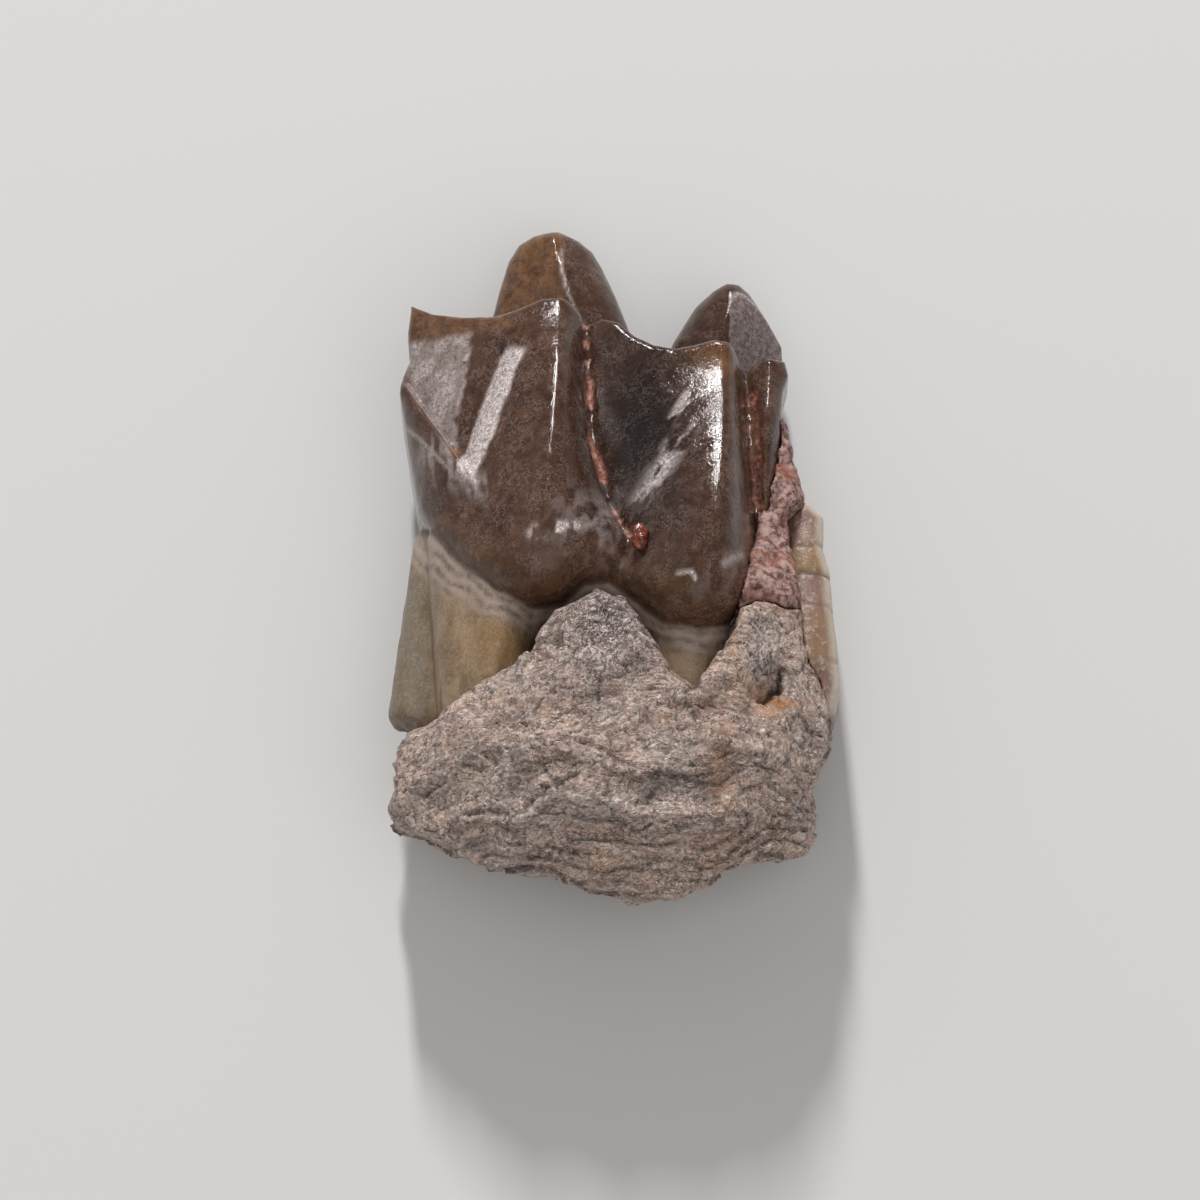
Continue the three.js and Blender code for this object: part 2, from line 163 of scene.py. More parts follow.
def uneven(x, y, z):
    return (
        0.4 * np.sin(1.9 * x + 0.7 * y + 1.3 * z + 0.6)
        + 0.35 * np.sin(-1.1 * x + 2.3 * y + 0.9 * z + 2.1)
        + 0.25 * np.sin(3.1 * x - 1.7 * y - 2.2 * z + 4.4)
    )


def lattice_noise(x, y, z, seed=0):
    """Smooth noise from about -1 to 1, with lumps one unit across."""
    x, y, z = np.broadcast_arrays(x, y, z)
    cell = [np.floor(v).astype(np.int64) for v in (x, y, z)]
    part = [v - c for v, c in zip((x, y, z), cell)]
    part = [p * p * p * (p * (6 * p - 15) + 10) for p in part]
    total = np.zeros(x.shape)
    for corner in range(8):
        step = [corner & 1, corner >> 1 & 1, corner >> 2]
        mixed = (
            (cell[0] + step[0]) * 73856093
            ^ (cell[1] + step[1]) * 19349663
            ^ (cell[2] + step[2]) * 83492791
            ^ (seed + 11) * 2654435761
        )
        mixed = (mixed ^ mixed >> 13) * 1274126177 & 0x7FFFFFFF
        mixed = (mixed ^ mixed >> 15) & 0xFFFF
        weight = 1.0
        for p, s in zip(part, step):
            weight = weight * (p if s else 1 - p)
        total += weight * (mixed / 32767.5 - 1)
    return total


def layered_noise(x, y, z, layers=3, seed=0):
    total = 0
    for layer in range(layers):
        size = 2 ** layer
        total = total + lattice_noise(x * size, y * size, z * size, seed + layer) / size
    return total / (2 - 0.5 ** (layers - 1))


def broken_cells(x, y, z, seed=0):
    """For blocks about one unit across: how far a point is from the block's edge, and a value
    from -1 to 1 that is the same all over a block."""
    base = [np.floor(v).astype(np.int64) for v in (x, y, z)]
    first = np.full(x.shape, 9.0)
    second = np.full(x.shape, 9.0)
    owner = np.zeros(x.shape)
    for shift in np.ndindex(3, 3, 3):
        cell = [b + s - 1 for b, s in zip(base, shift)]
        mixed = cell[0] * 73856093 ^ cell[1] * 19349663 ^ cell[2] * 83492791 ^ (seed + 7) * 97531
        mixed = (mixed ^ mixed >> 13) * 1274126177 & 0x7FFFFFFF
        spots = [(mixed >> bits & 255) / 255 for bits in (0, 8, 16)]
        away = np.sqrt(sum((c + s - v) ** 2 for c, s, v in zip(cell, spots, (x, y, z))))
        closer = away < first
        second = np.where(closer, first, np.minimum(second, away))
        owner = np.where(closer, (mixed >> 5 & 255) / 127.5 - 1, owner)
        first = np.where(closer, away, first)
    return second - first, owner


def rise(value, low, high):
    """0 below low, 1 above high, and smooth between."""
    t = np.clip((value - low) / (high - low), 0, 1)
    return t * t * (3 - 2 * t)


# The crown

CROWN_LINES = {
    "front_edge": (
        profile([(-3, -7.9), (2, -8.4), (6, -8.8), (11, -8.7)]),
        profile([(-3, 6.6), (2, 6.2), (6, 5.7), (11, 6.1)]),
    ),
    "front_rib": (
        profile([(-3, -3.5), (1, -2.85), (4.5, -2.5), (10, -2.25)]),
        profile([(-3.4, 9.9), (-1, 10.6), (2, 10.6), (5, 10.1), (8, 9.2), (11, 8.1)]),
    ),
    "groove": (
        profile([(-2.2, 0.25), (0, 0.55), (1.5, -0.05), (4.5, -0.8), (10, -1.1)]),
        profile([(-2.2, 9.1), (0, 8.9), (2, 8.3), (5, 7.7), (10, 6.9)]),
    ),
    "hind_rib": (
        profile([(-4, 3.5), (0, 4.1), (3, 4.45), (8, 4.6)]),
        profile([(-4.2, 9.9), (-2, 10.6), (1, 10.6), (4, 9.9), (8.5, 8.5)]),
    ),
    "hind_edge": (
        profile([(-2, 5.9), (1, 5.95), (5, 5.65), (9, 5.5)]),
        profile([(-3, 7.6), (1, 6.6), (5, 6.9), (9, 6.3)]),
    ),
}


def flank(t, roundness):
    return 1 - (1 - np.clip(t, 0, 1)) ** roundness


# The cingulum is a ledge that runs down across the front flange.
LEDGE_START = (-8.75, 7.7)
LEDGE_RUN = (0.496, -0.868)
ledge_fade = profile([(-1, 0), (0, 1), (4.8, 1), (7, 0)])


def from_ledge(x, y):
    """Places along the ledge and above its steep edge."""
    dx, dy = x - LEDGE_START[0], y - LEDGE_START[1]
    return dx * LEDGE_RUN[0] + dy * LEDGE_RUN[1], dy * LEDGE_RUN[0] - dx * LEDGE_RUN[1]


def cingulum_ledge(x, y):
    along, above = from_ledge(x, y)
    step = 1 / (1 + np.exp(np.clip(above / 0.06, -30, 30)))
    return ledge_fade(along) * step * bump(np.minimum(above, 0), 1.6)


flange_furrow = line_distance([(-4.7, 8.4), (-6.2, 4.2)])
hind_style = line_distance([(6.55, 8.4), (6.4, 5.4), (6.4, 2)])
style_furrow = line_distance([(5.5, 8.8), (5.65, 5), (5.95, 1.2), (5.9, -0.8)])


def cheek_face(x, y):
    at = {name: (place(y), height(y)) for name, (place, height) in CROWN_LINES.items()}

    def between(low, high, roundness):
        t = (x - at[low][0]) / (at[high][0] - at[low][0])
        return at[low][1] + (at[high][1] - at[low][1]) * flank(t, roundness)

    height = np.where(
        x < at["front_rib"][0],
        between("front_edge", "front_rib", 1.35),
        np.where(
            x < at["groove"][0],
            between("groove", "front_rib", 1.8),
            np.where(
                x < at["hind_rib"][0],
                between("groove", "hind_rib", 1.5),
                between("hind_edge", "hind_rib", 2),
            ),
        ),
    )
    height = height + CINGULUM_HEIGHT * cingulum_ledge(x, y)
    height = height - 0.5 * bump(flange_furrow(x, y), 0.4)
    return height + 0.5 * bump(hind_style(x, y), 0.5) - 0.4 * bump(style_furrow(x, y), 0.2)


crown_outline = outline([
    (-8.5, 11.3), (-7.6, 10.8), (-6.3, 10.45), (-4.9, 10.3), (-3.9, 10.6), (-3, 10.95),
    (-2.1, 10.95), (-1.5, 10.6), (-1, 10.2), (-0.5, 10.35), (0.2, 10.1), (0.9, 9.4), (1.7, 8.9),
    (2.6, 8.65), (3.4, 8.75), (4.2, 8.95), (4.9, 8.85), (5.3, 8.4), (5.6, 8.35), (6.2, 8.8),
    (7.2, 8.75), (7.35, 8.1), (7.1, 7.3), (7, 5.6), (6.75, 2.6), (6.4, 0.2), (5.65, -2),
    (4.7, -3.4), (3.5, -3.85), (2.1, -3.5), (1, -2.5), (-0.15, -1.7), (-1.2, -1.75),
    (-2.1, -2.4), (-3.5, -2.7), (-4.85, -2.2), (-6.2, -1), (-7.35, 0.65), (-8.15, 2.35),
    (-8.35, 3.5), (-8.7, 5.7), (-8.95, 7.3), (-8.85, 8.2), (-8.55, 8.85), (-8.65, 10.1),
])


def tongue_face(x, y):
    front = bump(np.hypot(x + 2.8, (y - 3.5) / 1.7), 3)
    hind = bump(np.hypot(x - 4.4, (y - 3) / 1.6), 3)
    return 1.4 - 1.75 * np.maximum(front, hind) + 0.02 * np.maximum(y - 6, 0) ** 2


valley_slope = profile([(3.5, -0.5), (5.5, 1.8), (7.5, 4.5), (9, 5.3), (11, 5.8)])


def valley_floor(x, y):
    return valley_slope(y) - 1.7 * ((x + 0.8) / 8) ** 2


def crown(x, y, z):
    face = (z - cheek_face(x, y)) * 0.78
    back = np.maximum(tongue_face(x, y), valley_floor(x, y)) - z
    rounding = 1.1 - 0.7 * rise(y, 4, 8)
    return soft_max(soft_max(face, crown_outline(x, y), rounding), back * 0.85, 0.5)


def tall_cusp(shape, rib, tip):
    reach = profile([(4, 5.6), (7, 5.1), (tip - 3, 4.8), (tip, 4.3)])
    behind = profile([(4, -0.3), (8, 0.1), (tip - 3, 0.6), (tip, 1.6)])

    def cusp(x, y, z):
        across = np.hypot(x - rib(y), 0.22) - 0.22
        face = (z - reach(y) + 0.62 * across) * 0.8
        back = (behind(y) + 0.12 * across * across - z) * 0.9
        return soft_max(soft_max(face, back, 0.9), shape(x, y), 1)

    return cusp


front_tall_cusp = tall_cusp(
    outline([
        (-6.8, 4), (-6.2, 8.5), (-5.4, 11.9), (-4.6, 14.5), (-4.1, 15.2), (-3.4, 15.5),
        (-2.3, 15.55), (-1.4, 15.3), (-0.8, 14.9), (-0.4, 14.2), (0.7, 11.4), (1.5, 8), (1.7, 4),
    ]),
    profile([(6, -1.6), (12, -1.8), (15, -2.5)]),
    15.4,
)
hind_tall_cusp = tall_cusp(
    outline([
        (1.1, 4), (1.7, 8.5), (2.5, 10.8), (3.4, 12.3), (4.2, 12.95), (4.8, 13.2), (5.4, 13.15),
        (5.8, 12.85), (6.2, 12.3), (7.2, 10.7), (7.2, 8.5), (6.9, 4),
    ]),
    profile([(6, 4), (10, 4.7), (13, 5)]),
    13.3,
)


def wear_cut(x, y, z):
    return (x - 6.2) * 0.66 - (y - 10.4) * 0.15 + (z - 3.3) * 0.75


def enamel_body(x, y, z):
    hind = soft_max(hind_tall_cusp(x, y, z), wear_cut(x, y, z), 0.15)
    return soft_min(crown(x, y, z), np.minimum(front_tall_cusp(x, y, z), hind), 0.7)


# The roots

front_root = taper((-5, 0.5, 5.3), (-5.7, -11, 5.6), 2.75, 1.3, 0.66)
front_root_column = taper((-7.1, 1, 4), (-8.1, -6, 3.7), 1.3, 1.25)
hind_root = taper((3.1, 0, 5.3), (3.2, -11.5, 5.5), 2.75, 1.2, 0.66)
neck = taper((-3.6, 0, 5), (2.4, -0.6, 5), 3, 2.9, 0.75)


def root_body(x, y, z):
    front = soft_min(front_root(x, y, z), front_root_column(x, y, z), 0.5)
    both = soft_min(front, hind_root(x, y, z), 0.8)
    broken_end = np.maximum(-6.55 - y - 0.25 * (x + 9), -9.3 - y)
    broken_end = broken_end + 0.25 * lattice_noise(x * 2, y * 0.4, z * 1.3, 37)
    end = np.where(x < -7.9, broken_end, -9.3 - y)
    body = soft_max(soft_min(both, neck(x, y, z), 1.6), end, 0.3)
    return soft_max(body, (z - cheek_face(x, y) + ENAMEL_STEP) * 0.78, 0.4)


def molar_tooth(x, y, z):
    return soft_min(enamel_body(x, y, z), root_body(x, y, z), 0.12)


# The jaw bone

bone_outline = outline([
    (-0.7, -2.1), (-2.3, -3), (-3.4, -4.6), (-4.85, -5.8), (-6.2, -6.4), (-7.2, -7.5),
    (-8.4, -8.3), (-8.9, -9.4), (-9.15, -11.4), (-8.95, -12.3), (-7, -13), (-5, -14),
    (-2.7, -14.1), (-1.5, -14.7), (1, -15.3), (2.5, -15.2), (3.95, -14.55), (4.6, -13.9),
    (5.9, -13.6), (7.75, -13.45), (8.3, -12.9), (8.05, -10.7), (8.8, -8.6), (8.85, -7.2),
    (8.6, -6), (8.1, -4.9), (7.8, -3.8), (7.6, -2.8), (6.7, -2.5), (5.8, -2.4), (5.2, -2.8),
    (4.7, -4), (4.2, -4.9), (3.3, -6.2), (2.7, -5.8), (2.05, -4.8), (1.15, -3.6), (0.5, -2.5),
])
terrace_edges = [
    line_distance([(-8, -10.4), (-5.2, -9.2), (-2.6, -9.3), (0.9, -10.6), (4, -10.3)]),
    line_distance([(-6.2, -12.2), (-3.6, -12.1), (-2.1, -11.2), (1, -12.4), (5.5, -12.2)]),
    line_distance([(2.9, -7.2), (3.1, -9), (6.8, -9.6)]),
]
edge_fall = profile([(-9.2, 7.3), (-6, 9.2), (-2, 10.4), (3, 10.4), (6, 9.4), (9, 7)])
lower_fall = profile([(-15.3, 2.4), (-13, 1.1), (-10, 0.2), (-6, 0), (-2, 0.2)])


def bone_face(x, y):
    height = edge_fall(x) - lower_fall(y)
    for edge in terrace_edges:
        height = height + TERRACE_HEIGHT * bump(edge(x, y), 0.7)
    height = height - PIT_DEPTH * bump(np.hypot((x - 6.2) / 0.9, (y + 6.1) / 1.5), 0.85)
    return height + 0.28 * uneven(x, y, 0)


def bone_back(x, y):
    broken = bump(np.hypot((x - 0.6) / 1.2, (y + 7.6) / 0.95), 5.2)
    return 2.3 - 2.75 * broken + 0.3 * uneven(x + 5, y, 3)


def bone_block(x, y, z):
    shape = bone_outline(x, y - BACK_TILT * (8 - z)) + 0.16 * uneven(x, y, z)
    shape = shape + 0.16 * layered_noise(x * 1.1, y * 1.1, z * 0.8, 2, 35)
    faces = soft_max((z - bone_face(x, y)) * 0.9, (bone_back(x, y) - z) * 0.9, 0.6)
    return soft_max(shape, faces, 0.7)


def jaw_bone(x, y, z):
    return np.maximum(bone_block(x, y, z), GAP - molar_tooth(x, y, z))


# The sediment and the stump. The sediment's lower end dips under the bone.

sediment_outline = outline([
    (5.8, 7.6), (6.6, 7.4), (7.25, 6), (7.55, 4.6), (7.9, 3.1), (7.9, 2.5), (7.2, 1.9),
    (7.3, 0.5), (7.6, -1), (7.8, -5.2), (4.6, -5.2), (4.6, -2.6), (5.3, -1.2), (5.9, 0.5),
    (6.1, 2.7),
])
sediment_top = profile([(-5, 6.5), (-3, 7.6), (-2, 8.2), (1, 7.1), (4, 6.5), (7.5, 6.5)])


def red_sediment(x, y, z):
    face = z - sediment_top(y) + 0.35 * (x - 6.8) - 0.22 * uneven(2 * x, 2 * y, z)
    back = 1.6 + 0.25 * uneven(x, y, 7) - z
    fill = soft_max(soft_max(face * 0.9, back, 0.8), sediment_outline(x, y), 0.7)
    return np.maximum(np.maximum(fill, GAP - molar_tooth(x, y, z)), GAP - bone_block(x, y, z))


stump_outline = outline([
    (7.1, 2.7), (8.1, 2.85), (8.8, 2.2), (8.75, 0.7), (9.05, -0.4), (9.15, -2.1), (9.3, -3.9),
    (9.4, -5.5), (9.2, -6.3), (8.6, -6.5), (7.6, -6.3), (7, -3),
])


def root_stump(x, y, z):
    face = z - 6 + 0.1 * (y + 2) + 0.4 * (x - 8) ** 2
    shape = soft_max(soft_max(face, 1.9 - z, 1), stump_outline(x, y), 0.6)
    others = np.minimum(red_sediment(x, y, z), bone_block(x, y, z))
    return np.maximum(shape, GAP - np.minimum(others, molar_tooth(x, y, z)))


# From a field to a mesh: one vertex in each cell that the surface crosses.

def surface_of(field, low, high, step):
    axes = [np.arange(lo - 0.5 * step, hi + step, step) for lo, hi in zip(low, high)]
    grid = np.ix_(*axes)

    def grounded(x, y, z):
        return np.maximum(field(x, y, z), -z)

    values = np.broadcast_to(grounded(*grid), [len(a) for a in axes]).astype(np.float32)
    inside = values < 0
    cells = [n - 1 for n in values.shape]
    total = np.zeros(cells + [3], np.float32)
    hits = np.zeros(cells, np.int16)
    edges = []
    for axis in range(3):
        ahead = [slice(None)] * 3
        here = [slice(None)] * 3
        ahead[axis] = slice(1, None)
        here[axis] = slice(None, -1)
        crossing = np.argwhere(inside[tuple(here)] != inside[tuple(ahead)])
        start = values[tuple(crossing.T)]
        unit = np.eye(3, dtype=int)[axis]
        end = values[tuple((crossing + unit).T)]
        point = crossing.astype(np.float32)
        point[:, axis] += start / (start - end)
        u, v = np.eye(3, dtype=int)[(axis + 1) % 3], np.eye(3, dtype=int)[(axis + 2) % 3]
        ring = [crossing, crossing - u, crossing - u - v, crossing - v]
        for corner in ring:
            fits = np.all((corner >= 0) & (corner < cells), axis=1)
            np.add.at(total, tuple(corner[fits].T), point[fits])
            np.add.at(hits, tuple(corner[fits].T), 1)
        edges.append((ring, start < 0))
    used = hits > 0
    number = np.full(cells, -1)
    number[used] = np.arange(used.sum())
    vertices = total[used] / hits[used][:, None]
    vertices = np.array([a[0] for a in axes]) + vertices * step

    for _ in range(SETTLING_TURNS):
        x, y, z = vertices.T
        here = grounded(x, y, z)
        small = 0.02
        slope = np.stack([
            grounded(x + small, y, z) - here,
            grounded(x, y + small, z) - here,
            grounded(x, y, z + small) - here,
        ], axis=1) / small
        steep = np.maximum((slope ** 2).sum(axis=1), 0.3)
        shift = np.clip(here / steep, -0.4 * step, 0.4 * step)
        vertices = vertices - shift[:, None] * slope
    vertices[:, 2] = np.where(vertices[:, 2] < 0.12 * step, 0, vertices[:, 2])

    faces = []
    for ring, leaving in edges:
        corners = np.stack([number[tuple(corner.T)] for corner in ring], axis=1)
        faces.append(np.where(leaving[:, None], corners, corners[:, ::-1]))
    return vertices, np.concatenate(faces)


def vertex_normals(vertices, faces):
    a, b, c, d = (vertices[faces[:, i]] for i in range(4))
    across = np.cross(c - a, d - b)
    normals = np.zeros_like(vertices)
    for i in range(4):
        np.add.at(normals, faces[:, i], across)
    return normals / np.maximum(np.linalg.norm(normals, axis=1), 1e-12)[:, None]


def make_piece(name, vertices, faces, masks, material):
    mesh = bpy.data.meshes.new(name)
    mesh.vertices.add(len(vertices))
    mesh.vertices.foreach_set("co", (vertices * MM).astype(np.float32).ravel())
    mesh.loops.add(faces.size)
    mesh.loops.foreach_set("vertex_index", faces.astype(np.int32).ravel())
    mesh.polygons.add(len(faces))
    mesh.polygons.foreach_set("loop_start", np.arange(0, faces.size, 4, dtype=np.int32))
    mesh.polygons.foreach_set("use_smooth", np.ones(len(faces), bool))
    mesh.update(calc_edges=True)
    for mask, strength in masks.items():
        layer = mesh.attributes.new(mask, "FLOAT", "POINT")
        layer.data.foreach_set("value", np.clip(strength, 0, 1).astype(np.float32))
    mesh.materials.append(material)
    piece = bpy.data.objects.new(name, mesh)
    bpy.context.collection.objects.link(piece)
    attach(piece, "root")
    return piece


def move_out(vertices, faces, amount):
    """Moves each vertex along its normal, and keeps what rests on the floor where it is."""
    floor_hold = 0.25
    normals = vertex_normals(vertices, faces)
    resting = bump(vertices[:, 2], floor_hold)
    moved = vertices + normals * (amount * (1 - resting))[:, None]
    moved[:, 2] = np.maximum(moved[:, 2], 0)
    return moved


# Materials

class Nodes:
    """Short names for the nodes that the materials below are built from."""

    def __init__(self, name):
        self.material = bpy.data.materials.new(name)
        self.material.use_nodes = True
        self.tree = self.material.node_tree
        self.shader = self.tree.nodes["Principled BSDF"]
        self.place = self.tree.nodes.new("ShaderNodeTexCoord").outputs["Object"]

    def link(self, value, socket):
        if isinstance(value, (int, float)):
            socket.default_value = value
        elif isinstance(value, tuple):
            socket.default_value = (*value, 1) if len(value) == 3 else value
        else:
            self.tree.links.new(value, socket)

    def mask(self, name):
        node = self.tree.nodes.new("ShaderNodeAttribute")
        node.attribute_name = name
        return node.outputs["Fac"]

    def stretch(self, factors):
        node = self.tree.nodes.new("ShaderNodeMapping")
        node.inputs["Scale"].default_value = factors
        self.tree.links.new(self.place, node.inputs["Vector"])
        return node.outputs["Vector"]

    def noise(self, size_mm, detail=3, roughness=0.55, distortion=0.0, stretch=None):
        node = self.tree.nodes.new("ShaderNodeTexNoise")
        node.inputs["Scale"].default_value = 1 / (size_mm * MM)
        node.inputs["Detail"].default_value = detail
        node.inputs["Roughness"].default_value = roughness
        node.inputs["Distortion"].default_value = distortion
        source = self.stretch(stretch) if stretch else self.place
        self.tree.links.new(source, node.inputs["Vector"])
        return node.outputs["Fac"]

    def ramp(self, value, low, high):
        node = self.tree.nodes.new("ShaderNodeMapRange")
        node.interpolation_type = "SMOOTHSTEP"
        node.inputs["From Min"].default_value = low
        node.inputs["From Max"].default_value = high
        self.link(value, node.inputs["Value"])
        return node.outputs["Result"]

    def math(self, operation, a, b=0.0):
        node = self.tree.nodes.new("ShaderNodeMath")
        node.operation = operation
        self.link(a, node.inputs[0])
        self.link(b, node.inputs[1])
        return node.outputs["Value"]

    def mix(self, amount, a, b):
        node = self.tree.nodes.new("ShaderNodeMix")
        node.data_type = "RGBA"
        self.link(amount, node.inputs["Factor"])
        self.link(a, node.inputs["A"])
        self.link(b, node.inputs["B"])
        return next(s for s in node.outputs if s.type == "RGBA")

    def bump(self, height, distance_mm, strength=1.0):
        node = self.tree.nodes.new("ShaderNodeBump")
        node.inputs["Distance"].default_value = distance_mm * MM
        node.inputs["Strength"].default_value = strength
        self.link(height, node.inputs["Height"])
        self.tree.links.new(node.outputs["Normal"], self.shader.inputs["Normal"])


def tooth_material():
    n = Nodes("tooth")
    mottle = n.noise(0.5, detail=4, roughness=0.7)
    speck = n.noise(0.12, detail=2, roughness=0.8)
    cloud = n.noise(3.2, detail=2)
    scuff = n.noise(0.22, detail=4, roughness=0.75, distortion=0.8)
    curl = n.noise(0.34, detail=2, roughness=0.6, distortion=1.6)
    from_line = n.math("ABSOLUTE", n.math("SUBTRACT", curl, 0.5))
    curls = n.ramp(from_line, 0.06, 0.015)
    curls = n.math("MULTIPLY", curls, n.ramp(n.noise(0.9, detail=2), 0.35, 0.6))
    amber = n.mix(n.ramp(mottle, 0.3, 0.7), (0.085, 0.038, 0.016), (0.24, 0.115, 0.042))
    enamel = n.mix(n.ramp(mottle, 0.35, 0.7), (0.030, 0.012, 0.007), (0.092, 0.041, 0.025))
    enamel = n.mix(n.ramp(cloud, 0.4, 0.7), enamel, (0.060, 0.028, 0.015))
    # Painted shade, partly dark enamel: the dark mask paints the hind lobe's cheek face and one side of
    # the hind cusp almost black.
    enamel = n.mix(n.mask("dark_and_shade"), enamel, (0.004, 0.0025, 0.0025))
    seen = n.math("SUBTRACT", 0.36, n.math("MULTIPLY", n.mask("dark_and_shade"), 0.2))
    enamel = n.mix(n.math("MULTIPLY", curls, seen), enamel, (0.24, 0.175, 0.15))
    enamel = n.mix(n.mask("amber"), enamel, amber)
    # Painted glints: pale specks over the enamel, fewer on the painted-shade face.
    glint_strength = n.math("SUBTRACT", 0.25, n.math("MULTIPLY", n.mask("dark_and_shade"), 0.18))
    glint_specks = n.math("MULTIPLY", n.ramp(speck, 0.58, 0.66), glint_strength)
    enamel = n.mix(glint_specks, enamel, (0.17, 0.12, 0.10))
    # Real scuffs, chips and wear painted pale, together with painted sheen streaks and painted highlight
    # lines.
    scuff_and_sheen = n.math("MULTIPLY", n.mask("scuff_and_sheen"), n.ramp(scuff, 0.25, 0.52))
    silvery = n.math("ADD", 0.5, n.math("MULTIPLY", n.ramp(from_line, 0.02, 0.09), 0.5))
    scuff_and_sheen = n.math("MULTIPLY", scuff_and_sheen, silvery)
    enamel = n.mix(scuff_and_sheen, enamel, (0.66, 0.58, 0.56))
    worn = n.mix(n.ramp(scuff, 0.4, 0.6), (0.10, 0.072, 0.07), (0.23, 0.18, 0.175))
    enamel = n.mix(n.mask("worn"), enamel, worn)
    root_grain = n.noise(1.2, detail=5, roughness=0.7, distortion=0.5, stretch=(1.0, 0.6, 1.0))
    root = n.mix(n.ramp(root_grain, 0.35, 0.65), (0.14, 0.092, 0.052), (0.28, 0.195, 0.12))
    root = n.mix(n.mask("ochre"), root, (0.20, 0.115, 0.042))
    strip = n.math("MULTIPLY", n.mask("strip"), n.ramp(root_grain, 0.2, 0.7))
    root = n.mix(strip, root, (0.15, 0.125, 0.095))
    patchy = n.ramp(n.noise(0.6, detail=4, distortion=0.5), 0.35, 0.65)
    band = n.mix(patchy, (0.13, 0.088, 0.066), (0.27, 0.195, 0.155))
    band = n.mix(n.math("MULTIPLY", n.mask("banding"), 0.6), band, (0.40, 0.32, 0.27))
    root = n.mix(n.mask("band"), root, band)
    swirl = n.noise(0.4, detail=3, roughness=0.6, distortion=1.8)
    swirls = n.ramp(n.math("ABSOLUTE", n.math("SUBTRACT", swirl, 0.5)), 0.03, 0.005)
    root = n.mix(n.math("MULTIPLY", swirls, 0.3), root, (0.46, 0.39, 0.31))
    color = n.mix(n.mask("enamel"), root, enamel)
    # Painted shade: a dark line on the root just under the enamel's overhanging lip.
    color = n.mix(n.mask("shade_under_lip"), color, (0.035, 0.02, 0.013))
    red = n.mix(n.ramp(n.noise(0.2, detail=3), 0.4, 0.6), (0.17, 0.045, 0.026), (0.40, 0.20, 0.145))
    color = n.mix(n.mask("dirt"), color, red)
    n.link(color, n.shader.inputs["Base Color"])
    dull = n.math("MAXIMUM", scuff_and_sheen, n.mask("worn"))
    uneven_gloss = n.math("MULTIPLY", n.ramp(mottle, 0.3, 0.7), 0.05)
    rough = n.math("ADD", n.math("MULTIPLY", dull, 0.22), uneven_gloss)
    bare = n.math("MULTIPLY", n.math("SUBTRACT", 1.0, n.mask("enamel")), 0.25)
    dirty = n.math("MULTIPLY", n.mask("dirt"), 0.4)
    rough = n.math("ADD", n.math("ADD", rough, 0.08), n.math("ADD", bare, dirty))
    n.link(rough, n.shader.inputs["Roughness"])
    n.shader.inputs["Specular IOR Level"].default_value = 0.3
    n.shader.inputs["Subsurface Weight"].default_value = 0.08
    n.shader.inputs["Subsurface Radius"].default_value = (1.0, 0.5, 0.25)
    n.shader.inputs["Subsurface Scale"].default_value = 0.0005
    relief = n.math("ADD", n.math("MULTIPLY", mottle, 0.35), n.math("MULTIPLY", speck, 0.35))
    n.bump(n.math("ADD", relief, n.math("MULTIPLY", scuff_and_sheen, 0.5)), 0.05, 0.8)
    return n.material


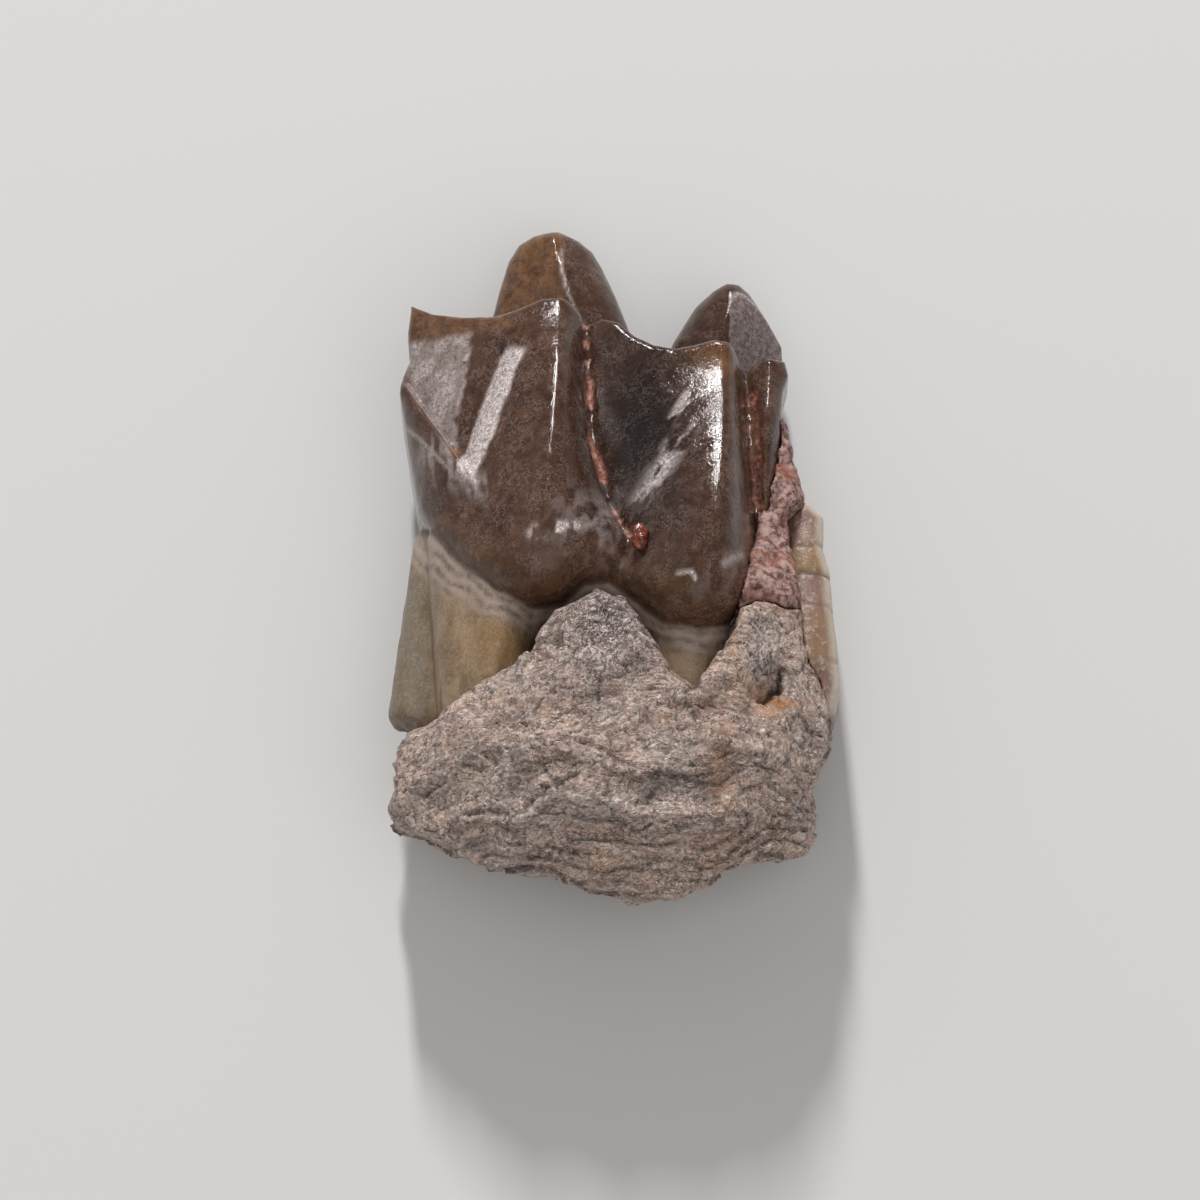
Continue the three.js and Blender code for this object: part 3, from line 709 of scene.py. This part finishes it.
def bone_material():
    n = Nodes("bone")
    flow = n.noise(1.0, detail=5, roughness=0.65, distortion=0.6, stretch=(0.6, 1.6, 1.0))
    spot = n.noise(2.2, detail=3)
    fine = n.noise(0.2, detail=4, roughness=0.8)
    vein = n.noise(0.9, detail=4, roughness=0.6, distortion=1.4, stretch=(0.6, 1.5, 1.0))
    hair = n.noise(0.5, detail=4, roughness=0.6, distortion=2.0, stretch=(0.7, 1.4, 1.0))
    curl = n.noise(0.42, detail=2, roughness=0.6, distortion=1.6)
    dark_line = n.ramp(n.math("ABSOLUTE", n.math("SUBTRACT", vein, 0.5)), 0.012, 0.0)
    glint_line = n.ramp(n.math("ABSOLUTE", n.math("SUBTRACT", hair, 0.5)), 0.016, 0.004)
    glint_curl = n.ramp(n.math("ABSOLUTE", n.math("SUBTRACT", curl, 0.54)), 0.05, 0.015)
    dark_curl = n.ramp(n.math("ABSOLUTE", n.math("SUBTRACT", curl, 0.42)), 0.05, 0.015)
    color = n.mix(n.ramp(flow, 0.34, 0.66), (0.25, 0.14, 0.105), (0.69, 0.465, 0.37))
    color = n.mix(n.math("MULTIPLY", n.mask("block"), 0.4), color, (0.50, 0.34, 0.26))
    color = n.mix(n.math("MULTIPLY", n.ramp(spot, 0.55, 0.66), 0.6), color, (0.50, 0.27, 0.135))
    cool = n.noise(3.0, detail=2, distortion=0.3)
    color = n.mix(n.math("MULTIPLY", n.ramp(cool, 0.52, 0.64), 0.55), color, (0.31, 0.265, 0.25))
    # Painted shade: darker in the low places of the relief.
    color = n.mix(n.math("MULTIPLY", n.ramp(n.mask("high"), 0.4, 0.0), 0.5), color, (0.13, 0.072, 0.05))
    # Painted highlights: pale lines along the edges of blocks, sheets and ledges.
    color = n.mix(n.math("MULTIPLY", n.mask("edge"), n.ramp(fine, 0.3, 0.6)), color, (0.66, 0.56, 0.49))
    color = n.mix(n.math("MULTIPLY", n.ramp(fine, 0.52, 0.68), 0.5), color, (0.70, 0.58, 0.50))
    color = n.mix(n.math("MULTIPLY", n.ramp(fine, 0.48, 0.32), 0.5), color, (0.10, 0.062, 0.048))
    squiggle = n.noise(0.45, detail=2, roughness=0.6, distortion=1.6)
    squiggles = n.ramp(n.math("ABSOLUTE", n.math("SUBTRACT", squiggle, 0.5)), 0.08, 0.03)
    # Painted shade: on the bone's dark pitted patch the gaps between the pale ridges are painted almost
    # black.
    shaded_gaps = n.mix(squiggles, (0.07, 0.038, 0.038), (0.70, 0.59, 0.56))
    color = n.mix(n.math("MULTIPLY", n.mask("dark_and_shade"), 0.9), color, shaded_gaps)
    # Painted highlights: pale thin lines and curls over the bone, fainter on the dark patch.
    curl_strength = n.math("SUBTRACT", 0.7, n.math("MULTIPLY", n.mask("dark_and_shade"), 0.3))
    curls = n.math("MULTIPLY", n.math("MAXIMUM", glint_line, glint_curl), curl_strength)
    color = n.mix(curls, color, (0.80, 0.69, 0.61))
    color = n.mix(n.math("MULTIPLY", dark_curl, 0.5), color, (0.13, 0.08, 0.062))
    color = n.mix(n.math("MULTIPLY", dark_line, 0.7), color, (0.06, 0.032, 0.024))
    # Cracks and seams painted dark, with painted shadow under each sheet's step, alongside the ledges and
    # in the socket crevice.
    color = n.mix(n.mask("crack_and_shadow"), color, (0.035, 0.02, 0.016))
    red = n.mix(n.ramp(fine, 0.35, 0.65), (0.16, 0.05, 0.04), (0.42, 0.24, 0.20))
    color = n.mix(n.math("MULTIPLY", n.mask("red"), 0.4), color, red)
    color = n.mix(n.math("MULTIPLY", n.mask("rust"), n.ramp(flow, 0.4, 0.6)), color, (0.40, 0.17, 0.06))
    n.link(color, n.shader.inputs["Base Color"])
    n.link(n.math("ADD", n.math("MULTIPLY", fine, 0.35), 0.33), n.shader.inputs["Roughness"])
    deep = n.math("MULTIPLY", n.mask("dark_and_shade"), squiggles)
    lines = n.math("SUBTRACT", n.math("MULTIPLY", n.math("ADD", glint_line, glint_curl), 0.3), dark_line)
    grain = n.math("MULTIPLY", fine, 0.9)
    relief = n.math("ADD", grain, n.math("ADD", n.math("MULTIPLY", flow, 0.5), lines))
    relief = n.math("ADD", relief, deep)
    n.bump(relief, 0.09, 1.0)
    return n.material


def sediment_material():
    n = Nodes("sediment")
    grain = n.noise(0.3, detail=5, roughness=0.7)
    patch = n.noise(1.0, detail=3)
    color = n.mix(n.ramp(grain, 0.38, 0.62), (0.09, 0.03, 0.024), (0.42, 0.27, 0.235))
    color = n.mix(n.math("MULTIPLY", n.ramp(patch, 0.5, 0.7), 0.6), color, (0.28, 0.095, 0.045))
    n.link(color, n.shader.inputs["Base Color"])
    n.link(0.7, n.shader.inputs["Roughness"])
    n.bump(grain, 0.12, 0.9)
    return n.material


def stump_material():
    n = Nodes("root")
    grain = n.noise(0.9, detail=4, roughness=0.6, stretch=(1.0, 0.4, 1.0))
    fine = n.noise(0.25, detail=4, roughness=0.7)
    color = n.mix(n.ramp(grain, 0.3, 0.7), (0.13, 0.07, 0.05), (0.28, 0.175, 0.137))
    color = n.mix(n.math("MULTIPLY", n.mask("ochre"), 0.7), color, (0.24, 0.145, 0.055))
    color = n.mix(n.math("MULTIPLY", n.mask("rim"), 0.65), color, (0.62, 0.55, 0.45))
    color = n.mix(n.math("MULTIPLY", n.ramp(fine, 0.52, 0.68), 0.45), color, (0.56, 0.49, 0.41))
    color = n.mix(n.math("MULTIPLY", n.mask("seam"), 0.8), color, (0.10, 0.065, 0.045))
    n.link(color, n.shader.inputs["Base Color"])
    n.link(0.36, n.shader.inputs["Roughness"])
    n.shader.inputs["Subsurface Weight"].default_value = 0.3
    n.shader.inputs["Subsurface Radius"].default_value = (1.0, 0.8, 0.5)
    n.shader.inputs["Subsurface Scale"].default_value = 0.0008
    n.bump(n.math("ADD", grain, fine), 0.07, 0.7)
    return n.material


def grain_material():
    n = Nodes("grain")
    cloud = n.noise(0.22, detail=3)
    color = n.mix(n.ramp(cloud, 0.35, 0.65), (0.07, 0.012, 0.008), (0.22, 0.05, 0.025))
    n.link(color, n.shader.inputs["Base Color"])
    n.link(0.14, n.shader.inputs["Roughness"])
    n.bump(cloud, 0.05, 0.7)
    return n.material


# The pieces

groove_line = line_distance([(-1.14, 10.3), (-0.98, 6.9), (-0.85, 4.5), (-0.1, 1.5), (0.6, 0.1)])
hind_sheen = line_distance([(3.0, 4.6), (2.2, 3.2), (1.2, 1.5)])
upper_sheen = line_distance([(3.0, 6.3), (2.5, 5.2)])
top_sheen = line_distance([(3.1, 7.1), (2.4, 6.6)])
cusp_crack = line_distance([(-2.2, 14.4), (-2.1, 12.7), (-1.5, 11.2)])
style_dirt = line_distance([(5.8, 7.2), (5.9, 4.5), (6.1, 2.2)])
chipped_spot = line_distance([(-3.2, -0.35), (-1.6, 0)])
under_ledge = line_distance([(-7.6, 4.3), (-6.8, 3.1), (-5.6, 2.2)])
base_highlight_arcs = line_distance([(2.6, -2.0), (3.2, -2.0), (3.35, -2.35)])
base_scratch = line_distance([(4.5, -1.6), (5.3, -0.8)])


def scuffs_and_sheen(x, y, z):
    """Where the enamel of the cheek face is made pale. The front flange and a few chips and a
    scratch near the root are scuffed pale; a strip beside the flange's furrow and slanting streaks
    on the hind lobe are painted sheen, and the edges of the ledge and small arcs near the root are
    painted highlights."""
    dx, dy = x + 4.7, y - 8.4
    beside = 0.942 * dx - 0.336 * dy + 0.1 * lattice_noise(x * 2, y * 2, z, 71)
    along = -0.336 * dx - 0.942 * dy
    # Painted sheen: the strip beside the flange's furrow.
    strip = rise(beside, 0, 0.12) * (1 - rise(beside, 0.85, 1.1))
    strip = strip * rise(along, -0.5, 0) * (1 - rise(along, 5.2, 6.3))
    down, above = from_ledge(x, y)
    ragged = 0.3 * layered_noise(x * 1.6, y * 1.6, z, 2, 74)
    bare_band = np.maximum(1.35 - 0.25 * along, 0.12) + ragged
    flange = rise(-beside - bare_band, 0, 0.25) * rise(above, 0.1, 0.3)
    flange = flange * (1 - rise(y + ragged, 9.3, 9.7)) * rise(x + 8.75 + ragged, 0, 0.3)
    scuffs = layered_noise(x * 2.2, (y - 0.5 * x) * 1.4, z, 3, 73)
    flange = flange * (0.55 + 0.45 * rise(scuffs, -0.2, 0.3))
    # Painted highlights: bright lines along the ledge's upper and lower edges.
    ledge_edge_highlights = np.maximum(bump(above - 0.05, 0.07), 0.8 * bump(above + 1.05 - 0.1 * down, 0.07))
    ledge_edge_highlights = ledge_edge_highlights * rise(down, -0.2, 0.2) * (1 - rise(down, 4.6, 5.4)) * (y > 2)
    under = bump(under_ledge(x, y), 0.55) * rise(layered_noise(x * 3, y * 0.9 + x, z, 2, 75), -0.1, 0.3)
    # Painted sheen: slanting streaks on the hind lobe.
    streaks = layered_noise((x * 0.83 - y * 0.56) * 3.6, (x * 0.56 + y * 0.83) * 0.8, z * 0.5, 3, 77)
    sheen = np.maximum(bump(hind_sheen(x, y), 0.42), 0.8 * bump(upper_sheen(x, y), 0.2))
    sheen = np.maximum(sheen, 0.4 * bump(top_sheen(x, y), 0.12)) * rise(streaks, -0.1, 0.2)
    chips = bump(chipped_spot(x, y), 0.28) * rise(layered_noise(x * 4, y * 4, z * 4, 2, 79), -0.05, 0.2)
    dusty = bump(np.hypot((x + 0.7) / 1.7, (y - 0.3) / 1.5), 1) * rise(scuffs, -0.1, 0.3)
    # Painted highlights: small arcs near the hind lobe's base, with a pale scratch beside them.
    highlight_arcs_and_scratch = np.maximum(bump(base_highlight_arcs(x, y), 0.065), 0.5 * bump(base_scratch(x, y), 0.14))
    masks = [
        1.2 * strip, 0.58 * flange, 0.6 * ledge_edge_highlights, 0.5 * under, 0.8 * sheen, 1.2 * chips,
        0.3 * dusty, highlight_arcs_and_scratch,
    ]
    cheek = np.clip(np.maximum.reduce(masks), 0, 1) * (z > 4.5)
    wander = 0.1 * lattice_noise(x * 2, y * 2, z, 81)
    return np.maximum(cheek, 0.5 * bump(cusp_crack(x + wander, y), 0.06) * (y > 11))


def build_tooth():
    vertices, faces = surface_of(molar_tooth, (-9.8, -9.8, 0), (8, 16, 11.2), FINE_STEP)
    x, y, z = vertices.T
    enamel = np.clip(0.5 + (root_body(x, y, z) - enamel_body(x, y, z)) / 0.06, 0, 1)
    on_root = 1 - enamel
    amount = 0.02 * layered_noise(x * 1.6, y * 1.6, z * 1.6, 3, seed=2) * enamel
    amount += on_root * 0.07 * layered_noise(x * 2.2, y * 0.5, z * 2.2, 3, seed=5)
    wander = 0.12 * lattice_noise(x, y * 1.5, z, 15)
    groove = bump(groove_line(x + wander, y), 0.12) * (z > 6.3)
    style = bump(style_dirt(x + wander, y), 0.2) * (z > 5.5)
    amount -= 0.16 * groove * enamel + 0.2 * style * enamel
    vertices = move_out(vertices, faces, amount)
    edge = crown_outline(x, y) + 0.25 * layered_noise(x * 0.8, y * 0.8, z, 2, 17)
    base = rise(edge, -1.7, -0.5) * (y < 1.5) * (z > CHEEK_SIDE)
    rim = rise(y, 9.3, 9.8) * rise(-x, 3.4, 5) * (z > CHEEK_SIDE)
    ochre_speck = bump(np.hypot(x + 6.6, (y - 4.2) / 1.3), 0.22) * (z > CHEEK_SIDE)
    rib_top = bump(np.hypot(x - 4.4, (y - 8)), 0.9) * (z > 6.5)
    cusp_height = np.maximum(y > 10.8, rise(y, 9.2, 11.2) * (z < 4.8))
    cusp_side = 0.5 * rise(-x, 1.9, 2.3) * cusp_height
    cusp_side = cusp_side + 0.08 * rise(x, 2, 3) * rise(y, 9.4, 10)
    hind_cusp = (x > 4.9) * (y > 9.2)
    facet_rim = 0.6 * bump(wear_cut(x, y, z) + 0.2, 0.07) * hind_cusp
    on_cut = rise(wear_cut(x, y, z), -0.16, -0.06) * hind_cusp
    inside = enamel_body(x, y, z) - root_body(x, y, z)
    near_root = rise(1.5 - crown_outline(x, y), 0, 0.8) * on_root * (z > 4)
    banding = 0.5 + 0.5 * np.sin(15 * crown_outline(x, y) + 3 * lattice_noise(x * 0.7, y, z, 21))
    crust = rise(layered_noise(x * 2.4, y * 2.4, z * 2.4, 3, 19), -0.15, 0.2)
    masks = {
        "enamel": enamel,
        "amber": np.maximum.reduce([base * 0.2, rib_top * 0.6, cusp_side, rim * 0.4, ochre_speck]),
        # Painted shade, partly dark enamel: the hind lobe's cheek face and one side of the hind cusp.
        "dark_and_shade": np.maximum(
            bump(np.hypot((x - 1.2) / 1.4, (y - 4.9) / 3.4), 1.3) ** 0.7 * (z > CHEEK_SIDE),
            0.45 * rise(x, 1.6, 2.4) * rise(y, 9.2, 9.8),
        ),
        # Real scuffs and wear, with painted sheen and painted highlights.
        "scuff_and_sheen": np.maximum(scuffs_and_sheen(x, y, z) * enamel, facet_rim),
        "dirt": np.maximum(groove * crust, style * (0.3 + 0.7 * crust)),
        "worn": on_cut,
        "ochre": 0.8 * bump(np.hypot((x + 4.6) / 1.5, (y + 4.4) / 1.4), 1) * (z > CHEEK_SIDE),
        "band": near_root,
        "banding": banding,
        # Painted shade under the enamel's lip.
        "shade_under_lip": 0.8 * bump(inside - 0.05, 0.09) * (z > 3),
        "strip": np.clip((-7.2 - x) / 0.8, 0, 1),
    }
    piece = make_piece("molar", vertices, faces, masks, tooth_material())
    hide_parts("molar_tooth")


socket_crevice = line_distance([(6.85, -5.4), (6.75, -6.1), (6.1, -6.95)])
rust_stain = line_distance([(4.2, -7.5), (4.4, -13.5)])
bone_cracks = [
    line_distance([(-2.1, -9.0), (-0.8, -9.4), (0.6, -10.1), (1.9, -10.7), (2.8, -10.8)]),
    line_distance([(3.3, -6.6), (3.1, -7.9)]),
    line_distance([(-0.5, -6.4), (-0.5, -7.6)]),
    line_distance([(-6.2, -11.8), (-4, -12), (-2.6, -11), (-1.6, -10.6)]),
]


def build_bone():
    vertices, faces = surface_of(jaw_bone, (-10, -16.4, 0), (9.8, 0.6, 12), FINE_STEP)
    x, y, z = vertices.T
    exposed = np.clip((molar_tooth(x, y, z) - 0.1) / 0.3, 0, 1)
    warp = lattice_noise(x * 0.3, y * 0.3, z * 0.3, 9)
    small_warp = lattice_noise(x * 1.1, y * 1.1, z * 1.1, 10)
    layers = y * 1.25 + 0.25 * z + 1.5 * warp + 0.35 * small_warp
    sheet = layers - np.floor(layers)
    flaking = rise(layered_noise(x * 0.45, y * 0.7, z * 0.5, 2, 23), -0.35, 0.25)
    flaking = flaking * rise(-y, 5.5, 8)
    gap, block = broken_cells(x * 0.9 + 0.5 * small_warp, y * 1.7 + 0.5 * warp, z * 1.1, 27)
    crumbs = layered_noise(x * 2.2, y * 2.8, z * 2.2, 3, seed=31)
    ledge = np.min([line(x + 0.3 * small_warp, y + 0.3 * warp) for line in terrace_edges], axis=0)
    ledge = ledge + 10 * (z < CHEEK_SIDE)
    crack_and_shadow = 0
    for line in bone_cracks:
        ragged_line = line(x + 0.3 * small_warp, y + 0.2 * crumbs)
        crack_and_shadow = np.maximum(crack_and_shadow, bump(ragged_line, 0.08) * (z > CHEEK_SIDE))
    seams = bump(gap, 0.07) * (1 - 0.6 * flaking)
    knob = bump(np.hypot((x - 5.9) / 0.8, (y + 5.4) / 1.1), 0.7) * (z > CHEEK_SIDE)
    crevice = bump(socket_crevice(x + 0.25 * crumbs, y + 0.25 * small_warp), 0.12) * (z > CHEEK_SIDE)
    amount = 0.24 * flaking * (sheet ** 1.6 - 0.5) + 0.07 * block + 0.05 * crumbs
    amount = amount - 0.14 * crack_and_shadow - 0.08 * seams + 0.4 * knob - 0.35 * crevice
    vertices = move_out(vertices, faces, amount * exposed)
    # Painted shadow under the step of each flaking sheet.
    shadow_under_sheet = flaking * np.maximum(bump(sheet, 0.1), bump(1 - sheet, 0.05))
    masks = {
        # Cracks and seams, with painted shadow under the sheets, alongside the ledges and in the crevice.
        "crack_and_shadow": np.maximum.reduce([
            0.75 * crack_and_shadow, 0.6 * seams, 0.8 * shadow_under_sheet, crevice, 0.5 * bump(ledge - 0.28, 0.05),
        ]),
        "block": 0.5 + 0.5 * block,
        # How high the relief stands; the bone material paints the low places darker as shade.
        "high": np.clip(0.5 + amount * exposed / 0.32, 0, 1),
        # Painted highlights along the edges of blocks, sheets and ledges.
        "edge": np.maximum(bump(gap - 0.13, 0.05), flaking * bump(1 - sheet - 0.1, 0.06)) * 0.7
        + 0.5 * bump(ledge, 0.09),
        # The bone's dark pitted patch and knob, whose gaps are painted as shade.
        "dark_and_shade": np.maximum(bump(np.hypot((x + 0.3) / 1.1, (y + 4.2) / 1.5), 2), knob) * (z > CHEEK_SIDE),
        "rust": np.maximum(
            bump(np.hypot((x - 6.6) / 1.2, (y + 7.0) / 0.7), 0.9),
            bump(rust_stain(x, y), 0.6) * 0.5,
        ) * (z > 4),
        "red": rise(0.9 - red_sediment(x, y, z) + 0.5 * crumbs, 0, 0.8),
    }
    piece = make_piece("bone", vertices, faces, masks, bone_material())
    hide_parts("jaw_bone")


def build_sediment():
    vertices, faces = surface_of(red_sediment, (4, -6, 0), (9.4, 8.6, 11.5), FINE_STEP)
    x, y, z = vertices.T
    amount = 0.14 * layered_noise(x * 2.4, y * 2.4, z * 2.4, 3, seed=41)
    vertices = move_out(vertices, faces, amount)
    piece = make_piece("sediment", vertices, faces, {}, sediment_material())
    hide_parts("red_sediment")


# Seams that cross the stump: how far up each lies, and how deep it is.
STUMP_SEAMS = ((0.75, 0.6), (-0.55, 1), (-2.0, 0.4), (-4.4, 0.5))


def build_stump():
    vertices, faces = surface_of(root_stump, (6.6, -7.4, 0), (10, 3.4, 8), FINE_STEP)
    x, y, z = vertices.T
    amount = 0.05 * layered_noise(x * 1.5, y * 0.8, z * 1.5, 3, seed=51)
    seam = 0
    for place, depth in STUMP_SEAMS:
        ragged = 0.2 * layered_noise(x * 2, y * 0 + place, z, 2, 53)
        seam = np.maximum(seam, depth * bump(y - place - ragged, 0.08))
    vertices = move_out(vertices, faces, amount - 0.09 * seam)
    upper_band = rise(y, -0.6, -0.4) * rise(-y, -0.85, -0.65)
    lower_band = rise(y, -4.6, -4.2) * rise(-y, 2, 2.4)
    masks = {
        "seam": seam,
        "ochre": upper_band + 0.6 * lower_band,
        "rim": rise(stump_outline(x, y), -0.5, -0.1) * (x > 8) * rise(z, 4.2, 4.9),
    }
    piece = make_piece("stump", vertices, faces, masks, stump_material())
    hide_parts("root_stump")


def build_grain():
    def grain(x, y, z):
        middle = (1.08, -0.25, 9.7)
        reach = (0.34, 0.58, 0.34)
        p = [(v - m) / r for v, m, r in zip((x, y, z), middle, reach)]
        return (np.sqrt(p[0] ** 2 + p[1] ** 2 + p[2] ** 2) - 1) * 0.3

    vertices, faces = surface_of(grain, (0.5, -1, 9.2), (1.6, 0.5, 10.2), 0.05)
    x, y, z = vertices.T
    vertices = move_out(vertices, faces, 0.12 * layered_noise(x * 3, y * 3, z * 3, 2, seed=61))
    piece = make_piece("grain", vertices, faces, {}, grain_material())
    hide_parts("groove_grain")


build_tooth()
build_bone()
build_sediment()
build_stump()
build_grain()


# Floor and light

FLOOR_COLOR = (0.55, 0.54, 0.53)
SKY_COLOR = (0.79, 0.78, 0.78, 1)
SKY_STRENGTH = 0.5
JUST_BELOW_THE_FOSSIL = 0.02 * MM


def make_floor():
    size = 1.2
    mesh = bpy.data.meshes.new("floor")
    corners = [(-size, -size, 0), (size, -size, 0), (size, size, 0), (-size, size, 0)]
    mesh.from_pydata([(x, y, z - JUST_BELOW_THE_FOSSIL) for x, y, z in corners], [], [(0, 1, 2, 3)])
    n = Nodes("floor")
    n.link(FLOOR_COLOR, n.shader.inputs["Base Color"])
    n.link(0.8, n.shader.inputs["Roughness"])
    mesh.materials.append(n.material)
    floor = bpy.data.objects.new("floor", mesh)
    bpy.context.collection.objects.link(floor)


def area_light(name, azimuth, elevation, distance, size, watts):
    """A light that faces the fossil. Its azimuth is counted from +X, its distance and size are metres."""
    data = bpy.data.lights.new(name, "AREA")
    data.shape = "RECTANGLE"
    data.size = size[0]
    data.size_y = size[1]
    data.energy = watts
    light = bpy.data.objects.new(name, data)
    bpy.context.collection.objects.link(light)
    a, e = math.radians(azimuth), math.radians(elevation)
    light.location = (
        distance * math.cos(e) * math.cos(a),
        distance * math.cos(e) * math.sin(a),
        distance * math.sin(e),
    )
    light.rotation_euler = (math.pi / 2 - e, 0, a + math.pi / 2)


make_floor()
area_light("key", 97, 36, 0.6, (0.035, 0.14), 3.4)
area_light("left", 150, 36, 0.6, (0.40, 0.30), 0.12)
area_light("fill", -70, 60, 0.7, (0.7, 0.7), 1.8)

world = bpy.data.worlds.new("world")
bpy.context.scene.world = world
world.use_nodes = True
world.node_tree.nodes["Background"].inputs["Color"].default_value = SKY_COLOR
world.node_tree.nodes["Background"].inputs["Strength"].default_value = SKY_STRENGTH

bpy.context.scene.view_settings.view_transform = "Standard"
